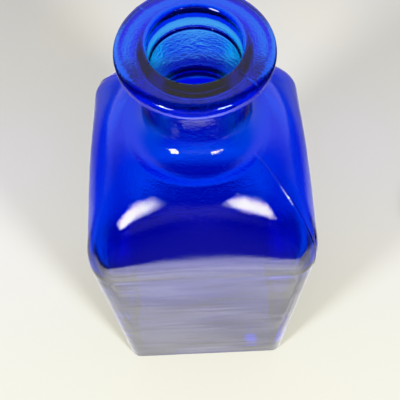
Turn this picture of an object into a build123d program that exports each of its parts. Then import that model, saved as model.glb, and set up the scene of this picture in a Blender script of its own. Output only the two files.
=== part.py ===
from build123d import *
from math import asin, atan2, cos, degrees, hypot, pi, radians, sin, sqrt
import os

# Square moulded-glass bottle with a round flanged lip and a loose plug stopper.
# Millimetres, +Z up, origin at the centre of the base's resting plane.
# +Y is the back of the bottle. The stopper lies on the table at +X, its knob
# towards the bottle.

# ---- bottle, outside ----
BODY_W = 80.0            # across the flats of the square body, at the shoulder
CORNER_R = 9.0           # vertical corner radius, at the shoulder
BASE_W = 79.2            # the same at the base: the walls have a slight draft
BASE_CORNER_R = 5.5
HEEL_R = 2.5             # rounding between the walls and the base
SHOULDER_Z = 120.0       # top of the straight walls
SHOULDER_H = 42.0        # rise of the domed shoulder
SHOULDER_IN = 19.5       # how far the dome comes in from each wall
NECK_R = 15.1
NECK_FOOT_R = 8.0        # hollow fillet at the foot of the neck
NECK_FOOT_END = 264.0    # where on that fillet the dome takes over, in degrees
NECK_SINK = 6.0          # how far the neck's solid reaches below the dome's top
NECK_SINK_IN = 0.4       # how far its bottom edge lies inside the fillet's end
LIP_R = 22.0
LIP_T = 5.6
LIP_UNDER_R = 1.6        # hollow fillet under the lip
LIP_LOW_R = 2.2          # rounding of the lip's lower edge
LIP_HIGH_R = 2.8         # rounding of the lip's upper edge
TOTAL_H = 194.0
LIP_Z = TOTAL_H - LIP_T

# ---- how the dome's sections change on the way up, outside and inside ----
DOME_STEPS = 16
SQUARE_POWER = 1.5       # how late the corners of the square grow
ROUND_FROM = 0.15        # where up the dome its sections start to turn from square to round
ROUND_SPAN = 0.75        # and over how much of it
PILLOW = 0.35            # how much of each corner's rounding the bowed sides take up
PILLOW_SPAN = 0.4        # over how much of the dome the sides become bowed
MIN_FLAT = 0.02          # least half width left beyond the corner radius
MIN_SLACK = 1e-4         # with less room than this the sides stay straight

# ---- bottle, inside ----
WALL = 3.4
CAVITY_CORNER_EXTRA = 1.0      # added to the corner radius less the wall, at the shoulder
CAVITY_LOW_CORNER_EXTRA = 3.4  # the same at the foot of the inner walls
FLOOR_Z = 7.0
FLOOR_R = 10.0           # rounding between the inner walls and the inner floor
FLOOR_STEP = 18          # degrees of that rounding between sections
FLOOR_CORNER_GROWTH = 0.35     # corner radius gained per length the floor comes in
CAVITY_RISE = 38.5       # rise of the dome's inside
CAVITY_IN = 20.5
NECK_BORE_R = 12.8       # inside of the neck, below the seat
NECK_FLARE_R = 12.0      # where the inside of the neck opens into the dome
NECK_FLARE_END = 260.0   # where on that flare the dome takes over, in degrees
NECK_BORE_SINK = 3.0     # how far the neck's cut reaches below the flare
SEAT_RING_R = 12.5       # small moulded ring that ends the stopper's seat
SEAT_RING_T = 1.0
BORE_R = 13.0            # smooth seat for the stopper
SEAT_DEPTH = 8.0         # from the lip's top to the ring
MOUTH_R = 1.4            # rounding of the mouth's edge
CAVITY_HALF = BODY_W / 2 - WALL
CAVITY_CORNER_R = CORNER_R - WALL + CAVITY_CORNER_EXTRA

# ---- underside ----
DISH_R = 31.0            # shallow round dish, so that the bottle stands on its rim
DISH_D = 1.6
CUT_PAST = 1.0           # how far cuts reach past the glass

# ---- stopper, with heights along its axis from the flange's underside ----
FLANGE_R = 17.0
FLANGE_T = 3.0
RIM_R = FLANGE_T / 2     # the flange's rim is fully rounded
RIM_CENTRE = FLANGE_R - RIM_R
WAIST_R = 12.4           # point that the waist's hollow arc passes through
WAIST_Z = 4.3
KNOB_R = 17.5
KNOB_Z = 17.0            # centre of the knob
KNOB_LOW = -40.0         # where the waist meets the knob, in degrees above its middle
KNOB_FLAT = 80.0         # where the small flat on the knob's top starts
PEG_R = 5.0
PEG_TAPER = 0.4          # extra radius at the peg's root
PEG_L = 16.5
PEG_BEVEL = 1.0
PEG_OVERLAP = 0.5        # how far the peg reaches up into the flange
SOCKET_EXTRA = 0.1       # how much deeper the cork's socket is than the peg
CORK_L = 18.0
CORK_TOP_Z = -0.15       # the cork starts just under the flange
CORK_TOP_R = 12.6
CORK_END_R = 11.3
CORK_TOP_BEVEL = 0.5
CORK_END_BEVEL = 1.0
SEAT_GAP = 0.3           # left under the flange when the stopper is in

# ---- where the stopper lies ----
# On its side it rests on the knob and on the flange's rounded rim, so its axis
# tips by TILT (radians). A turn about an axis level with the mouth carries it
# from the table into the mouth, and the turn's radius follows from the two heights.
KNOB_TO_RIM = KNOB_Z - RIM_R
TILT = asin((KNOB_R - RIM_R) / hypot(KNOB_TO_RIM, RIM_CENTRE)) - atan2(RIM_CENTRE, KNOB_TO_RIM)
LIE_Z = KNOB_R - KNOB_Z * sin(TILT)        # middle of the flange's underside when lying
SWING_R = (TOTAL_H + SEAT_GAP - LIE_Z) / cos(TILT)
LIE_X = SWING_R * (1 - sin(TILT))
# profile plane: x = distance from the stopper's axis, y = along it towards the knob
PROFILE = Plane(origin=(LIE_X, 0, LIE_Z), x_dir=(sin(TILT), 0, cos(TILT)), z_dir=(0, -1, 0))
STOPPER_AXIS = Axis((LIE_X, 0, LIE_Z), (-cos(TILT), 0, sin(TILT)))


def polar(centre, radius, angle):
    """Point on a circle, at an angle in degrees."""
    return (centre[0] + radius * cos(radians(angle)), centre[1] + radius * sin(radians(angle)))


def arc(centre, radius, start, end):
    """Arc between two angles in degrees, in the open line."""
    ThreePointArc(*[polar(centre, radius, angle) for angle in (start, (start + end) / 2, end)])


def ease(t):
    """Smooth step from 0 to 1."""
    t = max(0.0, min(1.0, t))
    return t * t * (3 - 2 * t)


def dome_height(width, half, rise, inset):
    """Height of a domed shoulder where its half width is width."""
    cosine = 1 - (half - width) / inset
    return SHOULDER_Z + rise * sqrt(1 - cosine**2)


def flare_centre(tube_r, flare_r, end, half, rise, inset):
    """Centre of the arc that leads from a tube's wall out to the dome, ending there at end."""
    centre_x = tube_r + flare_r
    reach_x, drop = polar((centre_x, 0), flare_r, end)
    return (centre_x, dome_height(reach_x, half, rise, inset) - drop)


def dome_sections(half, corner, rise, inset):
    """Height, half width, corner radius and side radius of each section up a domed shoulder."""
    sections = []
    top = half - inset
    for i in range(DOME_STEPS + 1):
        t = i / DOME_STEPS
        angle = t * pi / 2
        width = half - inset * (1 - cos(angle))
        square = corner + (top - corner) * t**SQUARE_POWER
        full = square + (width - square) * ease((t - ROUND_FROM) / ROUND_SPAN)
        full = min(full, width - MIN_FLAT)
        radius = full * (1 - PILLOW * ease(t / PILLOW_SPAN))
        # the sides bow just enough to keep the corner's reach
        reach = (width - full) * sqrt(2) + full
        centre = (reach - radius) / sqrt(2)
        slack = (width - centre) - radius
        side = None
        if slack > MIN_SLACK:
            side = (centre**2 + (width - centre) ** 2 - radius**2) / (2 * slack)
        sections.append((SHOULDER_Z + rise * sin(angle), width, radius, side))
    return sections


def cushion(width, radius, side):
    """Square with bowed sides and round corners, all tangent, in the open sketch."""
    if side is None:
        RectangleRounded(2 * width, 2 * width, radius)
        return
    side_centre = width - side
    corner_centre = (side_centre + sqrt(2 * (side - radius) ** 2 - side_centre**2)) / 2
    angle = atan2(corner_centre, corner_centre - side_centre)
    # where a side's arc meets a corner's arc
    meet_x, meet_y = side_centre + side * cos(angle), side * sin(angle)
    tip = corner_centre + radius * sqrt(0.5)
    with BuildLine() as outline:
        for turn in (0, 90, 180, 270):
            c, s = cos(radians(turn)), sin(radians(turn))

            def spin(x, y):
                return (x * c - y * s, x * s + y * c)

            ThreePointArc(spin(meet_x, -meet_y), spin(width, 0), spin(meet_x, meet_y))
            ThreePointArc(spin(meet_x, meet_y), spin(tip, tip), spin(meet_y, meet_x))
    make_face(outline.edges())


def neck_outline():
    """Half section of the solid neck and lip, with the hollow fillets at both ends."""
    foot_centre = flare_centre(
        NECK_R, NECK_FOOT_R, NECK_FOOT_END, BODY_W / 2, SHOULDER_H, SHOULDER_IN
    )
    foot_end = polar(foot_centre, NECK_FOOT_R, NECK_FOOT_END)
    bottom = SHOULDER_Z + SHOULDER_H - NECK_SINK
    Polyline((0, bottom), (foot_end[0] - NECK_SINK_IN, bottom), foot_end)
    arc(foot_centre, NECK_FOOT_R, NECK_FOOT_END, 180)
    Line((NECK_R, foot_centre[1]), (NECK_R, LIP_Z - LIP_UNDER_R))
    arc((NECK_R + LIP_UNDER_R, LIP_Z - LIP_UNDER_R), LIP_UNDER_R, 180, 90)
    Line((NECK_R + LIP_UNDER_R, LIP_Z), (LIP_R - LIP_LOW_R, LIP_Z))
    arc((LIP_R - LIP_LOW_R, LIP_Z + LIP_LOW_R), LIP_LOW_R, -90, 0)
    Line((LIP_R, LIP_Z + LIP_LOW_R), (LIP_R, TOTAL_H - LIP_HIGH_R))
    arc((LIP_R - LIP_HIGH_R, TOTAL_H - LIP_HIGH_R), LIP_HIGH_R, 0, 90)
    Polyline((LIP_R - LIP_HIGH_R, TOTAL_H), (0, TOTAL_H), (0, bottom))


def bore_outline():
    """Half section of the neck's inside: flare, bore, ring, seat and rounded mouth."""
    centre = flare_centre(
        NECK_BORE_R, NECK_FLARE_R, NECK_FLARE_END, CAVITY_HALF, CAVITY_RISE, CAVITY_IN
    )
    flare_end = polar(centre, NECK_FLARE_R, NECK_FLARE_END)
    bottom = flare_end[1] - NECK_BORE_SINK
    ring_z = TOTAL_H - SEAT_DEPTH
    mouth_x = BORE_R + MOUTH_R
    Polyline((0, bottom), (flare_end[0], bottom), flare_end)
    arc(centre, NECK_FLARE_R, NECK_FLARE_END, 180)
    Polyline(
        (NECK_BORE_R, centre[1]),
        (NECK_BORE_R, ring_z - SEAT_RING_T),
        (SEAT_RING_R, ring_z - SEAT_RING_T * 0.6),
        (SEAT_RING_R, ring_z - SEAT_RING_T * 0.3),
        (BORE_R, ring_z),
        (BORE_R, TOTAL_H - MOUTH_R),
    )
    arc((mouth_x, TOTAL_H - MOUTH_R), MOUTH_R, 180, 90)
    top = TOTAL_H + CUT_PAST
    Polyline((mouth_x, TOTAL_H), (mouth_x, top), (0, top), (0, bottom))


def dish_outline():
    """Half section of the dish under the base, part of a large sphere."""
    sphere_r = (DISH_R**2 + DISH_D**2) / (2 * DISH_D)
    Polyline((0, DISH_D), (0, -CUT_PAST), (DISH_R, -CUT_PAST), (DISH_R, 0))
    arc((0, DISH_D - sphere_r), sphere_r, 90 - degrees(asin(DISH_R / sphere_r)), 90)


def build_bottle():
    """The bottle, one piece of moulded glass."""
    with BuildPart() as bottle:
        # square body, with its slight draft
        with BuildSketch(Plane.XY):
            RectangleRounded(BASE_W, BASE_W, BASE_CORNER_R)
        with BuildSketch(Plane.XY.offset(SHOULDER_Z)):
            RectangleRounded(BODY_W, BODY_W, CORNER_R)
        loft(ruled=True)
        # heel
        fillet(bottle.faces().sort_by(Axis.Z)[0].edges(), HEEL_R)
        # domed shoulder, square at the walls and round under the neck
        for z, *shape in dome_sections(BODY_W / 2, CORNER_R, SHOULDER_H, SHOULDER_IN):
            with BuildSketch(Plane.XY.offset(z)):
                cushion(*shape)
        loft()
        # neck and flanged lip
        with BuildSketch(Plane.XZ):
            with BuildLine():
                neck_outline()
            make_face()
        revolve(axis=Axis.Z)

        # inner walls, with the same draft
        wall_low = FLOOR_Z + FLOOR_R
        low_half = BASE_W / 2 + (BODY_W - BASE_W) / 2 * wall_low / SHOULDER_Z - WALL
        low_corner = BASE_CORNER_R - WALL + CAVITY_LOW_CORNER_EXTRA
        with BuildSketch(Plane.XY.offset(wall_low)):
            RectangleRounded(2 * low_half, 2 * low_half, low_corner)
        with BuildSketch(Plane.XY.offset(SHOULDER_Z)):
            RectangleRounded(2 * CAVITY_HALF, 2 * CAVITY_HALF, CAVITY_CORNER_R)
        loft(ruled=True, mode=Mode.SUBTRACT)
        # rounded inner floor
        for turn in range(0, 91, FLOOR_STEP):
            inset = FLOOR_R * (1 - cos(radians(turn)))
            width = 2 * (low_half - inset)
            with BuildSketch(Plane.XY.offset(wall_low - FLOOR_R * sin(radians(turn)))):
                RectangleRounded(width, width, low_corner + FLOOR_CORNER_GROWTH * inset)
        loft(mode=Mode.SUBTRACT)
        # inside of the dome
        for z, *shape in dome_sections(CAVITY_HALF, CAVITY_CORNER_R, CAVITY_RISE, CAVITY_IN):
            with BuildSketch(Plane.XY.offset(z)):
                cushion(*shape)
        loft(mode=Mode.SUBTRACT)
        # inside of the neck, then the dish under the base
        for outline in (bore_outline, dish_outline):
            with BuildSketch(Plane.XZ):
                with BuildLine():
                    outline()
                make_face()
            revolve(axis=Axis.Z, mode=Mode.SUBTRACT)
    return bottle.part


def head_outline():
    """Half section of the flange, waist and knob."""
    knob_centre = (0, KNOB_Z)
    flat_start = polar(knob_centre, KNOB_R, KNOB_FLAT)
    Polyline((0, 0), (RIM_CENTRE, 0))
    arc((RIM_CENTRE, RIM_R), RIM_R, -90, 90)
    ThreePointArc(
        (RIM_CENTRE, FLANGE_T), (WAIST_R, WAIST_Z), polar(knob_centre, KNOB_R, KNOB_LOW)
    )
    arc(knob_centre, KNOB_R, KNOB_LOW, KNOB_FLAT)
    Polyline(flat_start, (0, flat_start[1]), (0, 0))


def peg_outline(top, end):
    """Half section of the tapered peg, or of its socket, between two heights."""
    Polyline(
        (0, top),
        (PEG_R + PEG_TAPER, top),
        (PEG_R, -PEG_L + PEG_BEVEL),
        (PEG_R - PEG_BEVEL, end),
        (0, end),
        (0, top),
    )


def build_stopper_head():
    """Glass head: flange, waist, knob, and the peg that holds the cork."""
    with BuildPart() as head:
        with BuildSketch(PROFILE):
            with BuildLine():
                head_outline()
            make_face()
        revolve(axis=STOPPER_AXIS)
        with BuildSketch(PROFILE):
            with BuildLine():
                peg_outline(PEG_OVERLAP, -PEG_L)
            make_face()
        revolve(axis=STOPPER_AXIS)
    return head.part


def build_stopper_cork():
    """Cork sleeve, pressed onto the peg."""
    with BuildPart() as cork:
        with BuildSketch(PROFILE):
            with BuildLine():
                Polyline(
                    (0, CORK_TOP_Z),
                    (CORK_TOP_R - CORK_TOP_BEVEL, CORK_TOP_Z),
                    (CORK_TOP_R, CORK_TOP_Z - CORK_TOP_BEVEL),
                    (CORK_END_R, -CORK_L + CORK_END_BEVEL),
                    (CORK_END_R - CORK_END_BEVEL, -CORK_L),
                    (0, -CORK_L),
                    (0, CORK_TOP_Z),
                )
            make_face()
        revolve(axis=STOPPER_AXIS)
        # blind socket for the peg
        with BuildSketch(PROFILE):
            with BuildLine():
                peg_outline(0, -PEG_L - SOCKET_EXTRA)
            make_face()
        revolve(axis=STOPPER_AXIS, mode=Mode.SUBTRACT)
    return cork.part


PIECES = {
    "bottle": build_bottle,
    "stopper_head": build_stopper_head,
    "stopper_cork": build_stopper_cork,
}

os.makedirs("parts", exist_ok=True)
for name, build in PIECES.items():
    part = build()
    part.label = name
    export_step(part, f"parts/{name}.step")
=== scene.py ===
# A square cobalt glass bottle stands upright on the floor, centred on the origin. Its glass
# stopper, with a cork sleeve, lies to the right (+x) with the knob towards the bottle. The
# viewer is on the -y side. Pieces are sized in millimetres, the studio in metres.
import bpy
import bmesh
from math import sin, cos, pi, sqrt, radians, asin, atan2, hypot
from mathutils import Vector, Matrix, noise


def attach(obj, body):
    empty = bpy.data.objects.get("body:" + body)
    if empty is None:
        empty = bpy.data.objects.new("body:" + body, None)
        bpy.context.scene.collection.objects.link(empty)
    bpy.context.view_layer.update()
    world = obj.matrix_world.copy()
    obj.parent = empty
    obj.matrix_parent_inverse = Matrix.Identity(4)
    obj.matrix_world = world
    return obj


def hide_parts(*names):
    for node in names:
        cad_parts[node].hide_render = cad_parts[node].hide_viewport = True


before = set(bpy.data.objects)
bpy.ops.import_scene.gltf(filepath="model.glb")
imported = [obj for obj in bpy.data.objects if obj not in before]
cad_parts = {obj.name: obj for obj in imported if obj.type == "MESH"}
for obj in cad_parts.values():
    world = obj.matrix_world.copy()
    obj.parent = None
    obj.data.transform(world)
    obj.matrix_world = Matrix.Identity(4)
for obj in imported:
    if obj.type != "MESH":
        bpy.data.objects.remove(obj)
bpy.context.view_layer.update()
MM = 0.001


# ------------------------------------------------------------------ shape helpers
def link(ob):
    bpy.context.scene.collection.objects.link(ob)
    return ob


def ring_mesh(name, rings):
    """Smooth closed surface through rings of equal length, with a pole at each end."""
    count = len(rings[0])
    verts = [point for ring in rings for point in ring]
    faces = []
    for i in range(len(rings) - 1):
        a, b = i * count, (i + 1) * count
        for j in range(count):
            k = (j + 1) % count
            faces.append((a + j, a + k, b + k, b + j))
    last = len(verts) - count
    first_pole = len(verts)
    for ring in (rings[0], rings[-1]):
        verts.append(tuple(sum((Vector(point) for point in ring), Vector()) / count))
    faces += [(first_pole, (j + 1) % count, j) for j in range(count)]
    faces += [(first_pole + 1, last + j, last + (j + 1) % count) for j in range(count)]
    mesh = bpy.data.meshes.new(name)
    mesh.from_pydata(verts, [], faces)
    mesh.validate()
    bm = bmesh.new()
    bm.from_mesh(mesh)
    bmesh.ops.recalc_face_normals(bm, faces=bm.faces)
    bm.to_mesh(mesh)
    bm.free()
    for face in mesh.polygons:
        face.use_smooth = True
    return link(bpy.data.objects.new(name, mesh))


def smooth(t):
    """Smooth step from 0 to 1."""
    t = max(0.0, min(1.0, t))
    return t * t * (3 - 2 * t)


def between(start, end, steps):
    """The values that divide start..end into equal steps, without the ends."""
    return [start + (end - start) * i / steps for i in range(1, steps)]


def arc(x, z, radius, start, end, steps):
    """Points on an arc about (x, z), angles in degrees."""
    angles = [radians(start + (end - start) * i / steps) for i in range(steps + 1)]
    return [(x + radius * cos(a), z + radius * sin(a)) for a in angles]


# ------------------------------------------------------------------ bottle sizes (mm, degrees)
# body: half width and corner radius at the base and at the shoulder
BASE_HALF, BASE_CORNER = 39.6, 5.5
BODY_HALF, BODY_CORNER = 40.0, 9.0
HEEL_R = 2.5
DISH_R, DISH_DEPTH = 31.0, 1.6           # hollow under the base
SHOULDER_Z, SHOULDER_RISE, SHOULDER_INSET = 120.0, 42.0, 19.5
# share of the dome where its sections start to turn round, and over which they do;
# share of the corner radius given up to bow the sides
ROUND_FROM, ROUND_SPAN, PILLOW = 0.15, 0.75, 0.35
NECK_R = 15.1
FOOT_R, FOOT_END = 8.0, 264.0            # blend from dome to neck
TOP = 194.0
LIP_R, LIP_THICK = 22.0, 5.6
UNDER_R = 1.6                            # fillet between neck and lip
LIP_LOW_R, LIP_HIGH_R = 2.2, 2.8         # rounding of the lip's lower and upper edge
LIP_Z = TOP - LIP_THICK

# inside
WALL, FLOOR_Z, FLOOR_R = 3.4, 7.0, 10.0
CAVITY_RISE, CAVITY_INSET = 38.5, 20.5
FLARE_R, FLARE_END = 12.0, 260.0         # blend from neck bore to cavity
MOUTH_BORE_R, MOUTH_R = 13.0, 1.4        # bore above the ring, and rounding of its edge
RING_R, RING_Z = 12.5, TOP - 8.0         # narrow ring in the mouth
NECK_BORE_R = 12.8
IN_HALF, IN_CORNER = BODY_HALF - WALL, BODY_CORNER - WALL + 1.0

# half width, corner radius, rise and inset of each dome
OUTER_DOME = BODY_HALF, BODY_CORNER, SHOULDER_RISE, SHOULDER_INSET
INNER_DOME = IN_HALF, IN_CORNER, CAVITY_RISE, CAVITY_INSET
DOME_STEPS = 90
STRAIGHT = 1e5                           # side radius of a section with flat sides

ANGLES = 288
SEAM = radians(-43.0)                    # mould seam, here and on the opposite side
SEAM_GAP = 0.030                         # even angles nearer the seam give way to these
SEAM_STEPS = (0.003, 0.006, 0.009, 0.013, 0.017, 0.022, 0.028)

# ripples of the surface by zone: offset, then (height, size, seed, stretch across, stretch up)
WAVES = {
    "body": (-0.13, ((0.10, 30.0, 3.1, 1, 2.6), (0.045, 11.0, 8.3, 0.5, 3.0))),
    "dome": (-0.07, ((0.07, 22.0, 5.3, 1, 1), (0.02, 7.0, 6.1, 1, 1))),
    "neck": (0.0, ((0.05, 9.0, 7.7, 1, 1), (0.02, 2.4, 3.7, 1, 0.3))),
    "cavity": (0.0, ((0.26, 26.0, 1.3, 1, 1), (0.05, 9.0, 9.1, 1, 1))),
    "neck bore": (0.0, ((0.016, 4.6, 2.2, 1, 1), (0.022, 1.5, 4.4, 1, 1.5),
                        (0.014, 0.9, 6.4, 1, 1))),
}


# ------------------------------------------------------------------ bottle sections
def dome_section(t, half, corner, rise, inset):
    """Height, half width, corner radius and side radius of a dome's section at t."""
    a = t * pi / 2
    top = half - inset
    width = half - inset * (1 - cos(a))
    base = corner + (top - corner) * t**1.5
    turned = base + (width - base) * smooth((t - ROUND_FROM) / ROUND_SPAN)
    full = min(turned, width - 0.02)
    radius = full * (1 - PILLOW * smooth(t / 0.4))
    # keep the reach along the diagonal, and bow the sides to meet the smaller corners
    reach = (width - full) * sqrt(2) + full
    k = (reach - radius) / sqrt(2)
    slack = (width - k) - radius
    side = (k * k + (width - k) ** 2 - radius * radius) / (2 * slack) if slack > 1e-4 else 1e5
    return SHOULDER_Z + rise * sin(a), width, radius, side


def dome_blend(neck, radius, end, dome):
    """Where a blend from a neck meets the dome (x), and the height of its centre."""
    half, _, rise, inset = dome
    x = neck + radius * (1 + cos(radians(end)))
    c = 1 - (half - x) / inset
    return x, SHOULDER_Z + rise * sqrt(1 - c * c) - radius * sin(radians(end))


def section_radius(angle, half, corner, side):
    """Radius, at an angle, of a square with bowed sides and round corners, all tangent."""
    if corner >= half - 1e-6:
        return half
    c, s = abs(cos(angle)), abs(sin(angle))
    a, b = max(c, s), min(c, s)
    side_at = half - side
    corner_at = (side_at + sqrt(2 * (side - corner) ** 2 - side_at * side_at)) / 2
    t = atan2(corner_at, corner_at - side_at)
    if atan2(b, a) <= atan2(side * sin(t), side_at + side * cos(t)):
        return side_at * a + sqrt(max(0.0, side * side - side_at * side_at * b * b))
    across = corner_at * (a - b)
    return corner_at * (a + b) + sqrt(max(0.0, corner * corner - across * across))


def section_angles():
    """Angles round every section, closer together at the mould seam."""
    angles = [2 * pi * (j + 0.5) / ANGLES for j in range(ANGLES)]
    for seam in (SEAM % (2 * pi), (SEAM + pi) % (2 * pi)):
        angles = [a for a in angles if abs(a - seam) > SEAM_GAP]
        angles.append(seam)
        angles += [seam + sign * step for step in SEAM_STEPS for sign in (-1, 1)]
    return sorted(angles)


def body_half(z):
    return BASE_HALF + (BODY_HALF - BASE_HALF) * z / SHOULDER_Z


def body_corner(z):
    return BASE_CORNER + (BODY_CORNER - BASE_CORNER) * z / SHOULDER_Z


class Levels(list):
    """Sections as (z, half width, corner radius, side radius, zone)."""

    def add(self, z, half, corner, zone, side=STRAIGHT):
        self.append((z, half, corner, side, zone))

    def add_round(self, points, zone):
        for radius, z in points:
            self.add(z, radius, radius, zone)

    def add_dome(self, steps, dome, blend_x, zone):
        """The part of a dome outside its blend with the neck."""
        for i in steps:
            z, half, corner, side = dome_section(i / DOME_STEPS, *dome)
            if half > blend_x + 0.15:
                self.add(z, half, corner, zone, side)


def add_outside(levels):
    """From the middle of the dish under the base up to the top of the lip."""
    sphere = (DISH_R**2 + DISH_DEPTH**2) / (2 * DISH_DEPTH)
    dish = [DISH_R * i / 12 for i in range(1, 13)]
    levels.add_round([(x, DISH_DEPTH - sphere + sqrt(sphere**2 - x * x)) for x in dish], "plain")
    # flat under the base, turning from round to square
    for t in between(0.0, 1.0, 5):
        half = DISH_R + (BASE_HALF - HEEL_R - DISH_R) * t
        levels.add(0.0, half, half - (half - BASE_CORNER + 1.0) * t, "plain")
    for x, z in arc(BASE_HALF - HEEL_R, HEEL_R, HEEL_R, -90, 0, 10):
        corner = max(BASE_CORNER - (BASE_HALF - x), 1.5) + body_corner(z) - BASE_CORNER
        levels.add(z, x + (body_half(z) - BASE_HALF), corner, "body")
    for z in between(HEEL_R, SHOULDER_Z, 90):
        levels.add(z, body_half(z), body_corner(z), "body")
    foot_x, foot_z = dome_blend(NECK_R, FOOT_R, FOOT_END, OUTER_DOME)
    levels.add_dome(range(DOME_STEPS + 1), OUTER_DOME, foot_x, "dome")
    levels.add_round(arc(NECK_R + FOOT_R, foot_z, FOOT_R, FOOT_END, 180, 18), "neck")
    levels.add_round([(NECK_R, z) for z in between(foot_z, LIP_Z - UNDER_R, 20)], "neck")
    lip = arc(NECK_R + UNDER_R, LIP_Z - UNDER_R, UNDER_R, 180, 90, 6)
    lip.append((LIP_R - 3.2, LIP_Z))
    lip += arc(LIP_R - LIP_LOW_R, LIP_Z + LIP_LOW_R, LIP_LOW_R, -90, 0, 10)
    lip += arc(LIP_R - LIP_HIGH_R, TOP - LIP_HIGH_R, LIP_HIGH_R, 0, 90, 12)
    lip += [(x, TOP) for x in between(LIP_R - LIP_HIGH_R, MOUTH_BORE_R + MOUTH_R, 6)]
    levels.add_round(lip, "lip")


def add_inside(levels, flare_x, flare_z):
    """From the mouth down to the middle of the inner floor."""
    levels.add_round(arc(MOUTH_BORE_R + MOUTH_R, TOP - MOUTH_R, MOUTH_R, 90, 180, 12), "plain")
    bore = between(TOP - MOUTH_R, RING_Z + 0.2, 8)
    levels.add_round([(MOUTH_BORE_R, z) for z in bore], "plain")
    ring = (
        (MOUTH_BORE_R, 0.15), (MOUTH_BORE_R - 0.12, 0.0), (RING_R + 0.1, -0.22),
        (RING_R, -0.4), (RING_R, -0.6), (RING_R + 0.1, -0.8), (NECK_BORE_R, -1.05),
    )
    levels.add_round([(radius, RING_Z + z) for radius, z in ring], "plain")
    bore = between(RING_Z - 1.2, flare_z, 60)
    levels.add_round([(NECK_BORE_R, z) for z in bore], "neck bore")
    flare = arc(NECK_BORE_R + FLARE_R, flare_z, FLARE_R, 180, FLARE_END, 18)
    levels.add_round(flare, "neck bore")
    levels.add_dome(range(DOME_STEPS, -1, -1), INNER_DOME, flare_x, "cavity")
    low_z = FLOOR_Z + FLOOR_R
    low_half = body_half(low_z) - WALL
    low_corner = BASE_CORNER - WALL + 3.4
    for z, half, corner in zip(between(SHOULDER_Z, low_z, 80), between(IN_HALF, low_half, 80),
                               between(IN_CORNER, low_corner, 80)):
        levels.add(z, half, corner, "cavity")
    for i in range(19):
        a = radians(5 * i)
        inset = FLOOR_R * (1 - cos(a))
        levels.add(low_z - FLOOR_R * sin(a), low_half - inset, low_corner + 0.35 * inset, "cavity")
    for t in (0.85, 0.7, 0.55, 0.4, 0.25, 0.12):
        half = (low_half - FLOOR_R) * t
        levels.add(FLOOR_Z, half, min(half, low_corner + 3.5 + (1 - t) * 8), "cavity")


# ------------------------------------------------------------------ bottle surface
def wave(x, y, z, size, seed):
    place = (x / size + seed, y / size - seed * 1.7, z / size + seed * 0.6)
    return noise.noise(Vector(place))


def seam_ridge(angle, radius, width):
    """Height, 0 to 1, of the ridge left by the mould's two seams; width in mm."""
    width = width / max(6.0, radius)
    off = min(abs((angle - SEAM + pi) % (2 * pi) - pi), abs((angle - SEAM) % (2 * pi) - pi))
    return (1.0 - (off / width) ** 2) ** 2 if off < width else 0.0


def surface_shift(zone, x, y, z, angle, radius, flare_z):
    """How far a point of the glass is moved outward and upward."""
    out, ripples = WAVES.get(zone, (0.0, ()))
    up = 0.0
    for height, size, seed, across, upward in ripples:
        out += height * wave(x * across, y * across, z * upward, size, seed)
    if zone == "body":
        out = min(0.0, out * smooth((z - 1.0) / 5.0))
    elif zone == "dome":
        out = min(0.0, out) + 0.20 * seam_ridge(angle, radius, width=0.42)
    elif zone == "neck":
        out += 0.03 * seam_ridge(angle, radius, width=0.42)
    elif zone == "lip":
        ridge = seam_ridge(angle, radius, width=0.35)
        fade = smooth((z - LIP_Z - 3.0) / 2.0)
        out = 0.05 * ridge
        up = 0.08 * ridge * fade - 0.09 * fade
    elif zone == "neck bore":
        # still at both ends, to meet the ring and the flare
        out *= smooth((RING_Z - 1.2 - z) / 3.0) * smooth((z - flare_z) / 4.0)
    elif zone == "cavity" and z <= FLOOR_Z + 0.01:
        out = 0.0
        up = 0.35 * wave(x, y, z, size=14.0, seed=1.3)
    return out, up


def build_bottle():
    """One skin: under the base, up the outside, over the lip and down the inside."""
    levels = Levels()
    flare_x, flare_z = dome_blend(NECK_BORE_R, FLARE_R, FLARE_END, INNER_DOME)
    add_outside(levels)
    add_inside(levels, flare_x, flare_z)
    angles = section_angles()
    rings = []
    for z, half, corner, side, zone in levels:
        ring = []
        for angle in angles:
            c, s = cos(angle), sin(angle)
            radius = section_radius(angle, half, corner, side)
            out, up = surface_shift(zone, radius * c, radius * s, z, angle, radius, flare_z)
            ring.append(((radius + out) * c * MM, (radius + out) * s * MM, (z + up) * MM))
        rings.append(ring)
    return ring_mesh("bottle_glass", rings)


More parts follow.
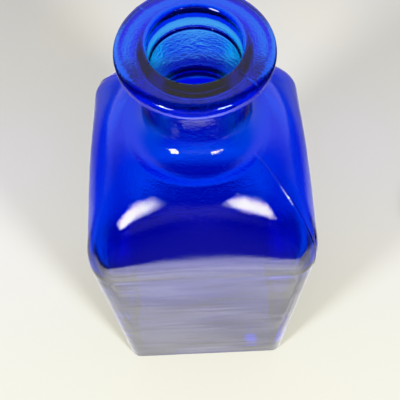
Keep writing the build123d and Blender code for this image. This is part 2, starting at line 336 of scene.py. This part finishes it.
# ------------------------------------------------------------------ node helpers
class Tree:
    """Short names for making and linking shader nodes."""

    def __init__(self, node_tree):
        self.nodes = node_tree.nodes
        self.links = node_tree.links

    def set(self, node, inputs):
        """Give inputs, by name or index, a value, an output, or a node's first output."""
        for key, x in inputs.items():
            socket = node.inputs[key]
            if isinstance(x, bpy.types.Node):
                x = x.outputs[0]
            if isinstance(x, bpy.types.NodeSocket):
                self.links.new(x, socket)
            else:
                socket.default_value = (*x, 1) if socket.type == "RGBA" else x

    def node(self, kind, inputs={}, **settings):
        node = self.nodes.new("ShaderNode" + kind)
        for key, x in settings.items():
            setattr(node, key, x)
        self.set(node, inputs)
        return node

    def math(self, operation, a, b=0.0, c=0.0):
        return self.node("Math", {0: a, 1: b, 2: c}, operation=operation).outputs[0]

    def product(self, first, *others):
        for x in others:
            first = self.math("MULTIPLY", first, x)
        return first

    def ramp(self, x, start, end, low=0.0, high=1.0, kind="SMOOTHSTEP"):
        """Step from low to high as x goes from start to end."""
        inputs = {"Value": x, "From Min": start, "From Max": end, "To Min": low, "To Max": high}
        return self.node("MapRange", inputs, interpolation_type=kind).outputs["Result"]

    def fall(self, x, start, end):
        return self.ramp(x, start, end, low=1.0, high=0.0)

    def mix(self, factor, a, b):
        """Colour a at factor 0, colour b at factor 1."""
        inputs = {0: factor, 6: a, 7: b}
        return self.node("Mix", inputs, data_type="RGBA", clamp_factor=True).outputs[2]

    def by_ray(self, path, plain, mirrored, through):
        """Shader for plain rays, rays mirrored by the glass and rays that came through it."""
        # rays through glass count as glossy too, so they are sorted out last
        glossy = self.node("MixShader", {0: path.outputs["Is Glossy Ray"], 1: plain, 2: mirrored})
        is_through = path.outputs["Is Transmission Ray"]
        return self.node("MixShader", {0: is_through, 1: glossy, 2: through})


def new_material(name):
    """A material with its tree, principled shader and output."""
    material = bpy.data.materials.new(name)
    material.use_nodes = True
    tree = Tree(material.node_tree)
    return material, tree, tree.nodes["Principled BSDF"], tree.nodes["Material Output"]


# ------------------------------------------------------------------ glass
ABSORPTION = (850.0, 350.0, 12.0)        # per metre: red, green, blue
DENSITY = 1000.0


def cobalt_material():
    material, tree, shader, output = new_material("cobalt_glass")
    tint = tuple(1 - a / DENSITY for a in ABSORPTION)
    volume = tree.node("VolumeAbsorption", {"Color": tint, "Density": DENSITY})
    place = tree.node("TexCoord").outputs["Object"]
    height = tree.node("SeparateXYZ", {0: place}).outputs["Z"]
    fine = tree.node("TexNoise", {"Scale": 1700.0, "Detail": 2.0, "Vector": place})
    flat = tree.node("Mapping", {"Scale": (1, 1, 3.0), "Vector": place})
    broad = tree.node("TexNoise", {"Scale": 60.0, "Detail": 2.0, "Vector": flat}).outputs["Fac"]
    # the fine grain fades in up the shoulder
    upper = tree.ramp(height, start=0.128, end=0.146, low=0.10, high=1.0, kind="LINEAR")
    grain = tree.node("Math", {0: fine.outputs["Fac"], 1: upper}, operation="MULTIPLY")
    relief = tree.math("MULTIPLY_ADD", broad, 1.1, grain.outputs[0])
    bump = tree.node("Bump", {"Strength": 0.24, "Distance": 0.00022, "Height": relief})
    tree.set(shader, {
        "Base Color": (1, 1, 1), "Transmission Weight": 1.0, "IOR": 1.5, "Normal": bump,
    })
    shader.inputs["Roughness"].default_value = 0.0
    rough = tree.ramp(broad, start=0.35, end=0.75, low=0.0, high=0.016, kind="LINEAR")
    tree.set(shader, {"Roughness": rough})
    tree.set(output, {"Volume": volume})
    return material


bottle = build_bottle()
cobalt = cobalt_material()
bottle.data.materials.append(cobalt)
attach(bottle, "bottle_body")
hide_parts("bottle")

# ------------------------------------------------------------------ stopper sizes (mm)
# measured along the axis from the flange's face on the peg's side, + towards the knob
KNOB_R, KNOB_AT, KNOB_FROM = 17.5, 17.0, 40      # the knob starts at -40 degrees
FLANGE_R, FLANGE_THICK = 17.0, 3.0
RIM_R = FLANGE_THICK / 2
RIM_AT = FLANGE_R - RIM_R                        # radius of the rim's centre line
WAIST_R = 12.0
PEG_R, PEG_LONG = 5.0, 16.5
CORK_TOP_R, CORK_END_R, CORK_LONG = 12.6, 11.3, 18.0

# the stopper rests on its knob and on the flange's rim
TILT = (asin((KNOB_R - RIM_R) / hypot(KNOB_AT - RIM_R, RIM_AT))
        - atan2(RIM_AT, KNOB_AT - RIM_R))
LIE = Vector((171.63324196954633, 0, KNOB_R - KNOB_AT * sin(TILT)))
AXIS = Vector((-cos(TILT), 0, sin(TILT)))        # towards the knob
SIDE = Vector((0, 1, 0))
UPWARD = AXIS.cross(SIDE)


def lathe(name, profile, count, shape=lambda radius, along, angle: (radius, along)):
    """Closed lathe on the stopper's axis from (radius, along) points."""
    rings = []
    for point in profile:
        ring = []
        for j in range(count):
            a = 2 * pi * j / count
            radius, along = shape(*point, a)
            place = LIE + AXIS * along + (SIDE * cos(a) + UPWARD * sin(a)) * radius
            ring.append(tuple(place * MM))
        rings.append(ring)
    return ring_mesh(name, rings)


def near_angle(angle, other):
    """The same angle, within half a turn of the other."""
    while angle - other > pi:
        angle -= 2 * pi
    while angle - other < -pi:
        angle += 2 * pi
    return angle


def arc_through(p0, p1, p2, steps):
    """Points on the arc from p0 through p1 to p2."""
    (ax, ay), (bx, by), (cx, cy) = p0, p1, p2
    d = 2 * (ax * (by - cy) + bx * (cy - ay) + cx * (ay - by))
    a2, b2, c2 = ax**2 + ay**2, bx**2 + by**2, cx**2 + cy**2
    x = (a2 * (by - cy) + b2 * (cy - ay) + c2 * (ay - by)) / d
    y = (a2 * (cx - bx) + b2 * (ax - cx) + c2 * (bx - ax)) / d
    radius = hypot(ax - x, ay - y)
    start = atan2(ay - y, ax - x)
    middle = near_angle(atan2(by - y, bx - x), start)
    end = near_angle(atan2(cy - y, cx - x), middle)
    angles = [start + (end - start) * i / steps for i in range(steps + 1)]
    return [(x + radius * cos(a), y + radius * sin(a)) for a in angles]


def knob_point(degrees):
    a = radians(degrees)
    return KNOB_R * cos(a), KNOB_AT + KNOB_R * sin(a)


def build_head():
    """Peg, flange, waist and knob, from the peg's end to the knob's flat."""
    profile = [
        (0.6, -PEG_LONG), (PEG_R - 1.0, -PEG_LONG),
        (PEG_R - 0.3, -PEG_LONG + 0.35), (PEG_R, -PEG_LONG + 1.0),
    ]
    profile += zip(between(PEG_R, PEG_R + 0.4, 12), between(-PEG_LONG + 1, -0.4, 12))
    profile += [
        (PEG_R + 0.5, -0.3), (PEG_R + 0.9, -0.05), (PEG_R + 1.6, 0.0),
        (9.0, 0.0), (12.5, 0.0), (RIM_AT - 0.6, 0.0),
    ]
    for degrees in range(0, 181, 12):
        a = radians(degrees)
        profile.append((RIM_AT + RIM_R * sin(a), RIM_R - RIM_R * cos(a)))
    waist = (WAIST_R + 0.4, 4.3)
    profile += arc_through((RIM_AT, FLANGE_THICK), waist, knob_point(-KNOB_FROM), 14)[1:]
    profile += [knob_point(degrees) for degrees in range(2 - KNOB_FROM, 79, 3)]
    x, y = knob_point(80)
    profile += [(x, y - 0.02), (x - 0.8, y), (x - 2.0, y - 0.06), (0.5, y - 0.12)]
    return lathe("stopper_glass", profile, 160)


def cork_pits(radius, along, angle):
    """Pits in the cork's side and bumps inward on its end."""
    x, y = radius * cos(angle), radius * sin(angle)
    if radius > CORK_END_R - 1.2 and -CORK_LONG + 0.6 < along < -0.5:
        small = noise.noise(Vector((x / 1.6, y / 1.6, along / 2.6)))
        large = noise.noise(Vector((x / 3.1 + 7, y / 3.1, along / 4.0)))
        pit = -0.32 * max(0.0, small - 0.22) / 0.4 - 0.25 * max(0.0, large - 0.3)
        return radius + pit - 0.03, along
    if along <= -CORK_LONG + 0.01 and radius > 1:
        pit = noise.noise(Vector((x / 1.8, y / 1.8, 3.0)))
        return radius, along + 0.25 * max(0.0, pit - 0.15)
    return radius, along


def build_cork():
    """Sleeve over the peg: up along the peg, out, and down the tapered side."""
    profile = [
        (0.4, -PEG_LONG - 0.2), (PEG_R - 0.9, -PEG_LONG - 0.2),
        (PEG_R + 0.08, -PEG_LONG + 0.9), (PEG_R + 0.46, -0.6),
        (PEG_R + 0.55, -0.15), (8.5, -0.15), (CORK_TOP_R - 0.8, -0.15),
        (CORK_TOP_R - 0.25, -0.3), (CORK_TOP_R, -0.75),
    ]
    profile += zip(between(CORK_TOP_R, CORK_END_R, 60), between(-0.75, -CORK_LONG + 1.3, 60))
    profile += [(CORK_END_R, -CORK_LONG + 1.0), (CORK_END_R - 0.3, -CORK_LONG + 0.3)]
    profile += [(radius, -CORK_LONG) for radius in (CORK_END_R - 1.0, 8.0, 5.0, 2.0, 0.4)]
    return lathe("cork_sleeve", profile, 192, cork_pits)


def cork_material():
    material, tree, shader, _ = new_material("cork")
    place = tree.node("TexCoord").outputs["Object"]
    cells = tree.node("TexVoronoi", {"Scale": 620.0, "Vector": place}).outputs["Distance"]
    grain = tree.node("TexNoise", {"Scale": 260.0, "Detail": 8.0, "Vector": place}).outputs["Fac"]
    colours = tree.node("ValToRGB", {"Fac": grain})
    dark, light = colours.color_ramp.elements
    dark.position = 0.30
    dark.color = (0.10, 0.045, 0.02, 1)
    light.position = 0.62
    light.color = (0.56, 0.36, 0.19, 1)
    colours.color_ramp.elements.new(0.45).color = (0.42, 0.24, 0.12, 1)
    relief = tree.node("Math", {0: cells, 1: grain}, operation="ADD")
    bump = tree.node("Bump", {"Strength": 0.5, "Distance": 0.0004, "Height": relief})
    tree.set(shader, {"Base Color": colours, "Roughness": 0.85, "Normal": bump})
    return material


head = build_head()
head.data.materials.append(cobalt)
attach(head, "stopper")
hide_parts("stopper_head")

cork = build_cork()
cork.data.materials.append(cork_material())
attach(cork, "stopper")
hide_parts("stopper_cork")

# ------------------------------------------------------------------ floor (metres)
FLOOR_HALF = 2.4
FLOOR_DROP = 0.00005                     # gap that keeps the base off the floor

# painted pools of light behind the bottle, the lavender ones as light tinted by the glass: colour,
# then x, y and radius of a left and a right one
PAINTED_LIGHT_POOLS = (
    ((0.80, 0.79, 0.86), (-0.112, 0.088, 0.060), (0.100, 0.088, 0.060)),
    ((0.86, 0.83, 0.74), (-0.080, 0.195, 0.050), (0.085, 0.195, 0.050)),
)
# painted light and shade seen through the glass straight behind the bottle: y where each colour
# starts and is full
BANDS = (
    (0.056, 0.075, (0.0, 1.10, 1.25)),
    (0.079, 0.087, (0.10, 0.05, 1.00)),
    (0.089, 0.104, (0.12, 0.03, 0.50)),
    (0.120, 0.160, (0.0, 0.01, 0.85)),
    (0.170, 0.189, (0.50, 0.88, 1.08)),
)
# painted spots of light gathered by the heel: x, y, radius, radius of the full part
HEEL_SPOTS = (
    (-0.055, -0.030, 0.010, 0.003), (0.046, -0.038, 0.009, 0.003),
    (0.024, -0.032, 0.0055, 0.002),
)


class FloorTree(Tree):
    """Node tree of the floor, with the place on it."""

    def __init__(self, node_tree):
        super().__init__(node_tree)
        place = self.node("SeparateXYZ", {0: self.node("NewGeometry").outputs["Position"]})
        self.x = place.outputs["X"]
        self.y = place.outputs["Y"]
        self.across = self.math("ABSOLUTE", self.x)
        self.path = self.node("LightPath")
        self.depth = self.path.outputs["Ray Depth"]

    def blob(self, x, y, radius, full=0.0):
        """Soft round patch."""
        dx = self.math("SUBTRACT", self.x, x)
        dy = self.math("SUBTRACT", self.y, y)
        square = self.math("MULTIPLY_ADD", dx, dx, self.product(dy, dy))
        return self.fall(self.math("SQRT", square), full, radius)

    def tone(self):
        """Colour of the floor, with painted lamp light making it warmer in front and painted pools
        of light.
        """
        # painted lamp light: a warmer tint towards the front
        tone = self.mix(self.ramp(self.y, -0.08, 0.06), (0.77, 0.765, 0.60), (0.79, 0.785, 0.765))
        # painted pools of light, mixed into the floor's colour
        for colour, left, right in PAINTED_LIGHT_POOLS:
            both = self.math("ADD", self.blob(*left), self.blob(*right))
            tone = self.mix(self.product(both, 0.6), tone, colour)
        return tone

    def flank(self):
        """Painted light seen through the glass to either side of the bottle, with painted shade
        close beside the base.
        """
        flank = self.mix(self.ramp(self.y, 0.14, 0.30), (0.0, 1.25, 1.00), (0.60, 0.95, 1.15))
        far = self.product(self.ramp(self.y, 0.25, 0.36), self.ramp(self.depth, 2.2, 2.8))
        far = self.product(self.ramp(self.across, 0.20, 0.32), far)
        flank = self.mix(far, flank, (0.5, 7.0, 1.30))
        # painted shade close beside the base
        near = self.product(self.fall(self.y, 0.042, 0.056), self.fall(self.across, 0.068, 0.084))
        return self.mix(near, flank, (0.06, 0.12, 0.22))

    def through_glass(self):
        """Painted light and shade, shown only through the glass: blue under and behind the bottle,
        where light has come through it.
        """
        lit = (0.05, 0.10, 0.40)
        # painted bands of light and shade behind the bottle
        for start, end, colour in BANDS:
            lit = self.mix(self.ramp(self.y, start, end), lit, colour)
        beside = self.product(self.ramp(self.across, 0.025, 0.055), self.fall(self.y, 0.12, 0.14))
        beside = self.math("MAXIMUM", beside, self.ramp(self.across, 0.034, 0.045))
        lit = self.mix(beside, lit, self.flank())
        # painted shade under the bottle, where light only comes through the glass
        from_middle = self.math("MAXIMUM", self.across, self.math("ABSOLUTE", self.y))
        lit = self.mix(self.fall(from_middle, 0.045, 0.064), lit, (0.02, 0.04, 0.42))
        # painted light: paths that went a long way through the glass see deep blue
        long_path = self.ramp(self.depth, 4.0, 5.0)
        lit = self.mix(long_path, lit, (0.0, 0.03, 0.85))

        # painted shade: dimmer towards the front
        strength = self.ramp(self.y, -0.060, 0.020, low=0.10)
        dim_front = self.product(long_path, self.ramp(self.y, -0.012, 0.018, low=0.92, high=0.0))
        # painted shade: light let through twice, from far behind, is lost
        lost = self.product(self.ramp(self.depth, 4.0, 5.0, high=0.95),
                            self.ramp(self.y, 0.29, 0.33))
        for loss in (dim_front, lost):
            strength = self.product(strength, self.math("SUBTRACT", 1.0, loss))
        # painted light gathered by the heel, as bright spots
        left, right, middle = (self.blob(*spot) for spot in HEEL_SPOTS)
        heel = self.math("ADD", self.math("ADD", left, right), middle)
        lit = self.mix(heel, lit, (0.10, 1.2, 1.1))
        strength = self.math("MAXIMUM", strength, heel)
        return self.node("Emission", {"Color": lit, "Strength": strength})

    def mirrored(self):
        """Painted glow, seen only in the glass's reflections: bright in front, ending in the dark
        of the room.
        """
        behind = self.math("MAXIMUM", self.ramp(self.y, 0.03, 0.12, low=1.0, high=0.30),
                           self.fall(self.across, 0.07, 0.12))
        glow = self.product(
            self.ramp(self.y, -0.125, -0.045, low=2.5, high=1.15),
            self.ramp(self.across, 0.06, 0.12, low=1.0, high=0.55),
            self.ramp(self.across, 0.19, 0.30, low=1.0, high=0.08),
            behind,
            self.ramp(self.y, -0.125, -0.085, low=1.14, high=1.0),
        )
        far_sides = self.product(self.ramp(self.y, 0.45, 0.90, high=0.75),
                                 self.ramp(self.across, 0.20, 0.34))
        glow = self.math("MAXIMUM", glow, far_sides)
        # painted streaks in that glow, long in x
        stretched = self.node("CombineXYZ", {
            0: self.product(self.x, 14.0), 1: self.product(self.y, 110.0),
        })
        streak = self.node("TexNoise", {"Scale": 1.0, "Detail": 2.0, "Vector": stretched})
        streak = self.ramp(streak.outputs["Fac"], 0.35, 0.65, low=0.86, high=1.12)
        slanted = self.math("MULTIPLY_ADD", self.x, 0.10, self.y)
        front_end = self.ramp(slanted, -0.176, -0.160, low=0.03)
        strength = self.product(glow, streak, front_end)
        return self.node("Emission", {"Color": (1.0, 0.985, 0.94), "Strength": strength})


def build_floor():
    h = FLOOR_HALF
    mesh = bpy.data.meshes.new("floor")
    mesh.from_pydata([(-h, -h, 0), (h, -h, 0), (h, h, 0), (-h, h, 0)], [], [(0, 1, 2, 3)])
    floor = link(bpy.data.objects.new("floor", mesh))
    floor.location.z = -FLOOR_DROP
    material, _, shader, output = new_material("floor")
    mesh.materials.append(material)
    tree = FloorTree(material.node_tree)
    tree.set(shader, {"Roughness": 0.7, "Specular IOR Level": 0.2, "Base Color": tree.tone()})
    # the floor shows painted light in the glass: a painted glow in its reflections, painted light
    # and shade through it
    surface = tree.by_ray(tree.path, shader, tree.mirrored(), tree.through_glass())
    tree.set(output, {"Surface": surface})


build_floor()


# ------------------------------------------------------------------ room
class RoomTree(Tree):
    """Node tree of the world, with the direction looked in."""

    def __init__(self, node_tree):
        super().__init__(node_tree)
        parts = self.node("SeparateXYZ", {0: self.node("TexCoord").outputs["Generated"]})
        self.x, self.y, self.z = parts.outputs
        self.elevation = self.math("ARCSINE", self.z)
        # 0 towards the viewer, + to the right
        self.azimuth = self.math("ARCTAN2", self.x, self.product(self.y, -1.0))
        self.path = self.node("LightPath")
        self.depth = self.path.outputs["Ray Depth"]

    def offset(self, azimuth, elevation):
        return (self.math("SUBTRACT", self.azimuth, radians(azimuth)),
                self.math("SUBTRACT", self.elevation, radians(elevation)))

    def soft_box(self, azimuth, elevation, half_wide, half_high, edge, tilt):
        """A soft-edged rectangle, in degrees."""
        a, e = self.offset(azimuth, elevation)
        e = self.math("MULTIPLY_ADD", a, -tilt, e)
        wide, high = (
            self.fall(self.math("ABSOLUTE", x), radians(half - edge), radians(half + edge))
            for x, half in ((a, half_wide), (e, half_high))
        )
        return self.product(wide, high)

    def window(self, azimuth, elevation, u, v):
        """A soft-edged slanting oval; u and v are its half axes as (azimuth, elevation)."""
        det = u[0] * v[1] - u[1] * v[0]
        a, e = (self.product(x, 180 / pi) for x in self.offset(azimuth, elevation))
        p = self.math("MULTIPLY_ADD", a, v[1] / det, self.product(e, -v[0] / det))
        q = self.math("MULTIPLY_ADD", a, -u[1] / det, self.product(e, u[0] / det))
        return self.fall(self.math("MULTIPLY_ADD", p, p, self.product(q, q)), 0.75, 1.45)

    def spot(self, azimuth, elevation, size):
        """A soft-edged round lamp, in degrees."""
        a, e = radians(azimuth), radians(elevation)
        c = Vector((sin(a) * cos(e), -cos(a) * cos(e), sin(e)))
        dot = self.math("MULTIPLY_ADD", self.y, c.y, self.product(self.z, c.z))
        dot = self.math("MULTIPLY_ADD", self.x, c.x, dot)
        return self.ramp(dot, cos(radians(size * 1.3)), cos(radians(size * 0.6)))

    def background(self, colour, strength):
        return self.node("Background", {"Color": colour, "Strength": strength})

    def mirrored(self):
        """Two windows either side of the viewer, a dim room between, a pale ceiling behind."""
        ceiling = self.product(self.ramp(self.elevation, 0.35, 1.0, low=0.60, high=0.75),
                               self.ramp(self.y, -0.02, 0.45))
        room = self.soft_box(-3, 8, half_wide=26, half_high=9, edge=6, tilt=0.0)
        windows = self.math("ADD", self.window(-42, 17.2, u=(4.9, 2.3), v=(5.6, -3.3)),
                            self.window(31, 17.6, u=(7.2, 1.8), v=(-0.4, 2.6)))
        # the windows' upper parts, mirrored again by the neck
        twice = self.math("GREATER_THAN", self.depth, 2.5)
        upper = self.math("ADD", self.spot(-48, 28, size=6), self.spot(42, 34, size=5))
        glow = self.math("ADD", ceiling, self.product(room, 0.30))
        glow = self.math("ADD", glow, self.product(windows, 66.0))
        glow = self.math("ADD", glow, self.product(upper, twice, 90.0))
        return self.background((1.0, 0.97, 0.93), glow)

    def through_glass(self):
        """Pale behind, dark towards the viewer."""
        glow = self.product(
            self.ramp(self.elevation, -0.1, 0.5, low=0.25),
            self.ramp(self.y, -0.4, 0.3, low=0.03),
            self.ramp(self.elevation, 1.138, 1.168, low=1.0, high=0.25),
            self.ramp(self.depth, 4.0, 5.0, low=1.0, high=0.15),
        )
        return self.background((0.95, 1.02, 1.15), glow)

    def plain(self):
        """Lights the floor and the cork."""
        glow = self.product(self.ramp(self.elevation, -0.05, 0.6, low=0.2),
                            self.ramp(self.y, -0.6, 0.6, low=0.75), 0.50)
        return self.background((1.0, 0.985, 0.96), glow)


def build_room():
    world = bpy.data.worlds.new("world")
    bpy.context.scene.world = world
    world.use_nodes = True
    tree = RoomTree(world.node_tree)
    tree.nodes.remove(tree.nodes["Background"])
    surface = tree.by_ray(tree.path, tree.plain(), tree.mirrored(), tree.through_glass())
    tree.set(tree.nodes["World Output"], {"Surface": surface})


def area_lamp(name, place, power):
    """Lamp that lights the floor and the cork only; its mirror image is in the room."""
    light = bpy.data.lights.new(name, "AREA")
    light.shape = "DISK"
    light.size = 0.16
    light.energy = power
    light.color = (1.0, 0.985, 0.955)
    lamp = link(bpy.data.objects.new(name, light))
    lamp.location = place
    aim = Vector((0, 0, 0.05)) - Vector(place)
    lamp.rotation_euler = aim.to_track_quat("-Z", "Y").to_euler()
    lamp.visible_glossy = False
    lamp.visible_transmission = False


build_room()
area_lamp("lamp_left", place=(-0.50, -0.40, 0.42), power=5.0)
area_lamp("lamp_right", place=(0.40, -0.50, 0.42), power=5.5)

# ------------------------------------------------------------------ camera
CAMERA_AT = (-0.00077414, -0.10698439, 0.31215307)
CAMERA_AXES = (
    (0.99906676, -0.04108883, -0.0133164),       # right
    (0.04265153, 0.88983577, 0.45428311),        # up
    (-0.00681656, -0.45442711, 0.89075784),      # back, away from the view
)


def build_camera():
    camera = bpy.data.cameras.new("cam")
    ob = link(bpy.data.objects.new("cam", camera))
    pose = Matrix(CAMERA_AXES).transposed().to_4x4()
    pose.translation = CAMERA_AT
    ob.matrix_world = pose
    camera.sensor_width = 36.0
    camera.lens = 52.45857
    camera.shift_x = -0.0058725
    camera.shift_y = -0.00029
    camera.clip_start = 0.005
    bpy.context.scene.camera = ob


# ------------------------------------------------------------------ light transport and view
WHITE_LEVEL = 3.0
# tone curve between black and the white level: light in, light out
TONE_CURVE = ((0.3, 0.30), (0.6, 0.60), (0.8, 0.77), (1.0, 0.88), (1.4, 0.96))


def set_render(cycles):
    cycles.max_bounces = 12
    cycles.transmission_bounces = 12
    cycles.glossy_bounces = 12
    cycles.diffuse_bounces = 4
    cycles.transparent_max_bounces = 16
    cycles.caustics_refractive = True
    cycles.caustics_reflective = True
    cycles.blur_glossy = 0.5
    cycles.use_denoising = True
    cycles.sample_clamp_indirect = 6.0


def set_view(view):
    view.view_transform = "Standard"
    view.exposure = 0.0
    view.use_curve_mapping = True
    mapping = view.curve_mapping
    mapping.white_level = (WHITE_LEVEL,) * 3
    points = mapping.curves[3].points
    points[0].location = (0, 0)
    points[1].location = (1, 1)
    for x, y in TONE_CURVE:
        points.new(x / WHITE_LEVEL, y)
    mapping.update()


build_camera()
set_render(bpy.context.scene.cycles)
set_view(bpy.context.scene.view_settings)
